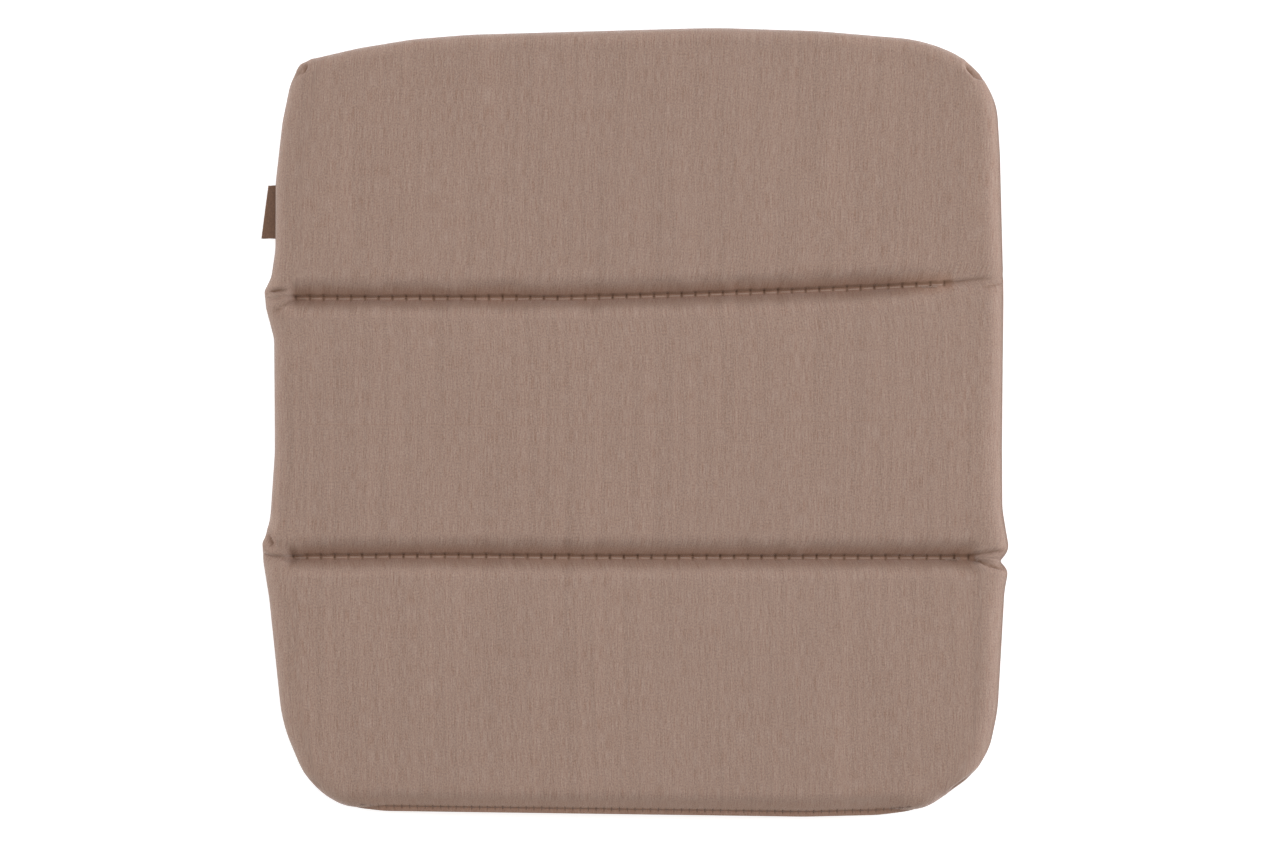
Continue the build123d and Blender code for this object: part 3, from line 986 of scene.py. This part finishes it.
def floor_material():
    """A plain pale floor, lit a little from below as a light table is."""
    material, n, shader = new_material("pale_floor")
    place = n.add("ShaderNodeTexCoord").outputs["Object"]
    tone = n.ramp(n.noise(n.stretch(place, (3.0, 3.0, 3.0)), 1.0, 3.0), 0.2, 0.9)
    n.put(shader.inputs["Base Color"], n.mix(tone, srgb(216, 216, 215), srgb(220, 220, 219)))
    shader.inputs["Roughness"].default_value = 0.85
    shader.inputs["Specular IOR Level"].default_value = 0.1
    shader.inputs["Emission Color"].default_value = (1, 1, 1, 1)
    shader.inputs["Emission Strength"].default_value = 0.62
    return material


COVER = cover_material()
QUILT_THREAD = thread_material("quilting_thread", srgb(188, 163, 148), srgb(150, 124, 108))
HEM_THREAD = thread_material("hem_thread", srgb(150, 124, 109), srgb(104, 80, 66))
RIBBON = ribbon_material()
FOAM = foam_material()


def paint(piece, material):
    """Gives a piece, or a part kept from the CAD model, its one material."""
    piece.data.materials.clear()
    piece.data.materials.append(material)


def dress(piece, material):
    """Gives a piece its material."""
    paint(piece, material)


# ---------------------------------------------------------------- covers in place


def bend_with_row(piece):
    """Bakes a piece's placement into its points."""
    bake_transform(piece)


def add_covers(covers):
    """Each cover is two pieces that meet across the middle section, so each crosses one fold."""
    last_row = len(fine_shape.v) - 1
    for side, name in ((1, "top"), (-1, "bottom")):
        for part, rows in (("rear", (0, SPLIT_ROW)), ("front", (SPLIT_ROW, last_row))):
            piece = cover_piece(f"{name}_cover_{part}", covers[side], rows, side)
            dress(piece, COVER)
            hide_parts(f"{name}_panel_{part}")
            if part == "front":
                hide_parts(f"{name}_panel_middle")
            bend_with_row(piece)


# ---------------------------------------------------------------- foam slabs

FOAM_INSET = 4.5          # the foam stops short of the perimeter seam
FOAM_GAP = 2.2            # and lies this far under the cover
FOAM_FLANK = 0.88         # slope of its flanks at the folds, so that two slabs fit beside each other there
FOAM_THINNEST = 0.6       # least height above or below the middle of the pad
CREASE_SPREAD = 1.6       # a crease presses the foam in over a wider strip than the cover
CREASE_PRESS = 1.3        # and deeper


def add_foam():
    """One slab of foam in each section, cut square at the sides and pressed in at the rows."""
    u = 0.014 + 0.972 * np.linspace(0, 1, 110)
    v = 0.05 + 0.90 * np.linspace(0, 1, 44)
    for part in SECTIONS:
        plan = section_plan(part, u, v)
        distance, foot, _ = edge_distance(plan)
        inward = (plan - foot) / np.maximum(distance, 0.01)[..., None]
        plan = plan + inward * np.maximum(FOAM_INSET - distance, 0)[..., None]
        distance, foot, _ = edge_distance(plan)
        height, _ = pad_height(plan, distance, foot)
        from_fold = np.minimum(np.abs(plan[..., 1] - FRONT_ROW), np.abs(plan[..., 1] - REAR_ROW))
        height = np.minimum(height, FOAM_GAP + FOAM_FLANK * from_fold)
        slabs = []
        for side, creases in CREASES.items():
            wider = [(start, end, depth, CREASE_SPREAD * width) for start, end, depth, width in creases]
            pressed = np.maximum(crease_depth(plan[..., 0], plan[..., 1], wider)[0], 0)
            left = np.maximum(height - FOAM_GAP - CREASE_PRESS * pressed, FOAM_THINNEST)
            slabs.append(np.dstack([plan, side * left]))
        top, bottom = slabs
        rows, columns = plan.shape[:2]
        count = rows * columns
        index = np.arange(count).reshape(rows, columns)
        border = np.concatenate((index[0, :-1], index[:-1, -1], index[-1, :0:-1], index[:0:-1, 0]))
        following = np.roll(border, -1)
        wall = np.stack([border, border + count, following + count, following], axis=1)
        quads = [grid_faces(rows, columns), grid_faces(rows, columns, count, flip=True), wall]
        points = np.concatenate((top.reshape(-1, 3), bottom.reshape(-1, 3)))
        piece = make_mesh(f"foam_slab_{part}", points, np.concatenate(quads).tolist())
        dress(piece, FOAM)
        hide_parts(f"foam_{part}")
        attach(piece, f"{part}_section")


# ---------------------------------------------------------------- thread

QUILT_RADIUS, QUILT_TWISTS = 0.36, 3.2     # thread radius, and turns of its plies in one stitch
HEM_RADIUS, HEM_TWISTS = 0.28, 2.0
QUILT_GAP = 0.09          # share of the pitch between a needle hole and the stitch's end
LOCK_PITCH, LOCK_STITCH, LOCK_RUN = 3.1, 2.5, 12.5     # the short stitches that end a row


def twisted_strand(path, radius, turns, sides=6):
    """Two plies twisted round a path. Returns points and quads."""
    path = np.asarray(path, float)
    tangent = np.gradient(path, axis=0)
    tangent /= np.linalg.norm(tangent, axis=1)[:, None]
    side = np.cross(tangent, (0, 0, 1.0))
    side /= np.linalg.norm(side, axis=1)[:, None] + 1e-9
    up = np.cross(side, tangent)
    twist = np.linspace(0, 2 * math.pi * turns, len(path))
    points, quads = [], []
    for ply in range(2):
        a = twist + math.pi * ply
        centre = path + 0.5 * radius * (side * np.cos(a)[:, None] + up * np.sin(a)[:, None])
        base = sum(len(p) for p in points)
        ring = np.linspace(0, 2 * math.pi, sides, endpoint=False)
        around = side[:, None] * np.cos(ring)[None, :, None] + up[:, None] * np.sin(ring)[None, :, None]
        points.append((centre[:, None] + 0.56 * radius * around).reshape(-1, 3))
        for i in range(len(path) - 1):
            for k in range(sides):
                here, after = base + i * sides + k, base + i * sides + (k + 1) % sides
                quads.append((here, after, after + sides, here + sides))
        ends = (base, base + (len(path) - 1) * sides)
        quads.append(tuple(ends[0] + k for k in range(sides))[::-1])
        quads.append(tuple(ends[1] + k for k in range(sides)))
    return np.concatenate(points), quads


def stitch_path(start, end, lift, dive, samples=11):
    """One stitch: up out of its hole, over the cloth and down again."""
    t = np.linspace(0, 1, samples)
    path = np.outer(1 - t, start) + np.outer(t, end)
    path[:, 2] += lift * np.sin(math.pi * t) ** 0.5 - dive * (np.abs(2 * t - 1) ** 8)
    return path


def thread_piece(name, paths, radius, turns, material, nodes):
    """All the stitches of one thread, as one piece."""
    points, faces, total = [], [], 0
    for path in paths:
        strand, quads = twisted_strand(path, radius, turns)
        points.append(strand)
        faces += [tuple(i + total for i in quad) for quad in quads]
        total += len(strand)
    piece = make_mesh(name, np.concatenate(points), faces)
    dress(piece, material)
    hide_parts(*nodes)
    return piece


def on_cover(points, x, y):
    """A place on the finished cover at x and y, read from the nearest point of its grid."""
    flat = points.reshape(-1, 3)
    return np.array((x, y, flat[((flat[:, :2] - (x, y)) ** 2).sum(1).argmin(), 2]))


def quilt_paths(points, row, side, seed):
    """The stitches of one face of a quilting row, and three short ones that lock its right end."""
    rng = np.random.default_rng(seed)
    row_y = ROW_LINES[row]
    first, last = ROW_SPANS[row]
    count = int((last - first) / QUILT_PITCH)
    spans = [(first + QUILT_PITCH * (i + QUILT_GAP), first + QUILT_PITCH * (i + 1 - QUILT_GAP), 0.95)
             for i in range(count)]
    locks = first + QUILT_PITCH * count - LOCK_RUN
    spans += [(locks + LOCK_PITCH * i, locks + LOCK_PITCH * i + LOCK_STITCH, 1.9) for i in range(3)]
    paths = []
    for left, right, behind in spans:
        y = row_y(np.array((left, right))) - behind + rng.normal(0, 0.10, 2)
        ends = on_cover(points, left, y[0]), on_cover(points, right, y[1])
        paths.append(stitch_path(*ends, side * 0.42, side * 0.9))
    return paths


def hem_paths(points, side, seed):
    """The closing topstitch along the hem, where the padding begins."""
    rng = np.random.default_rng(seed)
    rear = SECTIONS["rear"][0]
    inner = rear[(np.abs(rear[:, 0]) < HEM_HALF_LENGTH) & (rear[:, 1] < -205)]
    share = np.arange(0, int(length_of(inner) / HEM_PITCH)) * HEM_PITCH / length_of(inner)
    paths = []
    for s in share:
        a, b = along(inner, (s, s + 0.80 * HEM_PITCH / length_of(inner)))
        inset = HEM_WIDTH + rng.normal(0, 0.08)
        ends = on_cover(points, a[0], a[1] + inset), on_cover(points, b[0], b[1] + inset)
        paths.append(stitch_path(*ends, side * 0.40, side * 0.7, samples=8))
    return paths


def add_threads(covers):
    """The quilting and closing stitches on both faces, and the material of the hidden seam thread."""
    for side, kind in ((1, "needle"), (-1, "bobbin")):
        for row, seed in (("front", 3), ("rear", 4)):
            stitches = thread_piece(f"quilting_{kind}_stitches_{row}",
                                    quilt_paths(covers[side], row, side, seed + side),
                                    QUILT_RADIUS, QUILT_TWISTS, QUILT_THREAD,
                                    [f"quilt_{kind}_thread_{row}"])
            bend_with_row(stitches)
        stitches = thread_piece(f"closing_{kind}_stitches", hem_paths(covers[side], side, 9 + side),
                                HEM_RADIUS, HEM_TWISTS, HEM_THREAD, [f"closing_{kind}_thread"])
        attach(stitches, "rear_section")
    for part in SECTIONS:
        paint(frame["nodes"][f"seam_thread_{part}"], HEM_THREAD)


# ---------------------------------------------------------------- side label

LABEL_DEPTH = 7.0         # how far it stands out at its rear end
LABEL_TAPER = 2.6         # and how much less at its front end
LABEL_ROOT = 2.0          # how far it goes into the seam
LABEL_DROP = 0.8          # it hangs a little below its seam


def add_label():
    """The folded ribbon that stands out of the left side seam, deeper at its rear end."""
    pivot = np.array(joint("label_bend")["pos_m"]) / MM
    low, high = (np.array(c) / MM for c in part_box("label_flap"))
    rear_y, front_y = low[1] + 0.2, high[1] - 0.2
    lengths = np.linspace(0, 1, 40)
    half_ply = 0.42
    loop = [(s, 1.0) for s in np.linspace(0, 1, 15)]
    loop += [(1 + 0.06 * math.sin(a), math.cos(a)) for a in np.linspace(0, math.pi, 7)[1:-1]]
    loop += [(s, -1.0) for s in np.linspace(1, 0, 15)]
    points = []
    for t in lengths:
        y = rear_y + (front_y - rear_y) * t
        reach = LABEL_DEPTH - LABEL_TAPER * t
        root = pivot[0] + 2.6 + 0.038 * (y - pivot[1])
        for s, ply in loop:
            x = root - s * (reach + LABEL_ROOT)
            open_up = 0.25 * s * (1 - s) * 4
            z = ply * (half_ply + open_up * 0.35) + 0.5 * s ** 2 * math.sin(2.4 * t + 0.4) - 0.4 * s ** 2
            ripple = 0.15 * math.sin(9 * s + 3 * t) * (t - 0.5)
            points.append((x, y + ripple, z + pivot[2] - MIDDLE_Z - LABEL_DROP))
    columns = len(loop)
    quads = [q[::-1] for q in grid_faces(len(lengths), columns).tolist()]
    piece = make_mesh("side_label_ribbon", points, quads)
    dress(piece, RIBBON)
    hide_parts("label_flap")
    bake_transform(piece)
    paint(frame["nodes"]["label_tail"], RIBBON)


# ---------------------------------------------------------------- room, light and camera

def add_floor():
    """The floor, which isn't part of the pad."""
    mesh = bpy.data.meshes.new("floor")
    far = 6.0
    corners = [(-far, -far, 0), (far, -far, 0), (far, far, 0), (-far, far, 0)]
    mesh.from_pydata(corners, [], [(0, 1, 2, 3)])
    floor = add_object("floor", mesh)
    mesh.materials.append(floor_material())


def add_light(name, place, size, power, tint=(1, 1, 1)):
    """A rectangular soft light that faces the pad."""
    lamp = bpy.data.lights.new(name, "AREA")
    lamp.shape = "RECTANGLE"
    lamp.size, lamp.size_y = size
    lamp.energy = power
    lamp.color = tint
    light = add_object(name, lamp)
    light.location = place
    aim = -light.location.normalized()
    light.rotation_euler = aim.to_track_quat("-Z", "Y").to_euler()


COOL = (0.90, 0.97, 1.08)


def add_studio():
    """A soft room, a little darker behind the pad, with low lights that catch its sides and front edge."""
    world = bpy.data.worlds.new("studio")
    world.use_nodes = True
    n = Nodes(world.node_tree)
    sky = world.node_tree.nodes["Background"]
    sky.inputs["Color"].default_value = (1, 1, 1, 1)
    split = n.add("ShaderNodeSeparateXYZ")
    n.put(split.inputs[0], n.add("ShaderNodeTexCoord").outputs["Generated"])
    towards_front = n.math("ADD", n.math("MULTIPLY", split.outputs[1], 0.13), 0.52)
    seen = n.add("ShaderNodeLightPath").outputs["Is Camera Ray"]
    n.put(sky.inputs["Strength"], n.math("MAXIMUM", towards_front, seen))
    bpy.context.scene.world = world
    add_light("overhead_softbox", (0.0, 0.3, 2.6), (2.4, 1.8), 22.0)
    add_light("left_softbox", (-2.2, 0.2, 0.34), (0.7, 1.6), 24.0, COOL)
    add_light("right_softbox", (2.2, 0.2, 0.34), (0.7, 1.6), 45.0, COOL)
    add_light("front_softbox", (0.0, 2.4, 0.34), (1.6, 0.7), 8.5, COOL)


def add_camera():
    """Straight above the pad with a long lens, the front edge at the top of the frame."""
    view_width = 716.8 * MM
    height = 2.6
    camera = bpy.data.cameras.new("overhead")
    camera.sensor_width = 36.0
    camera.lens = 36.0 * (height - MIDDLE_Z * MM) / view_width
    eye = add_object("overhead", camera)
    eye.location = (2.8 * MM, -2.0 * MM, height)
    bpy.context.scene.camera = eye
    bpy.context.scene.view_settings.view_transform = "Standard"


covers = {side: cover_points(side) for side in (1, -1)}
add_covers(covers)
add_foam()
add_threads(covers)
add_label()
add_floor()
add_studio()
add_camera()
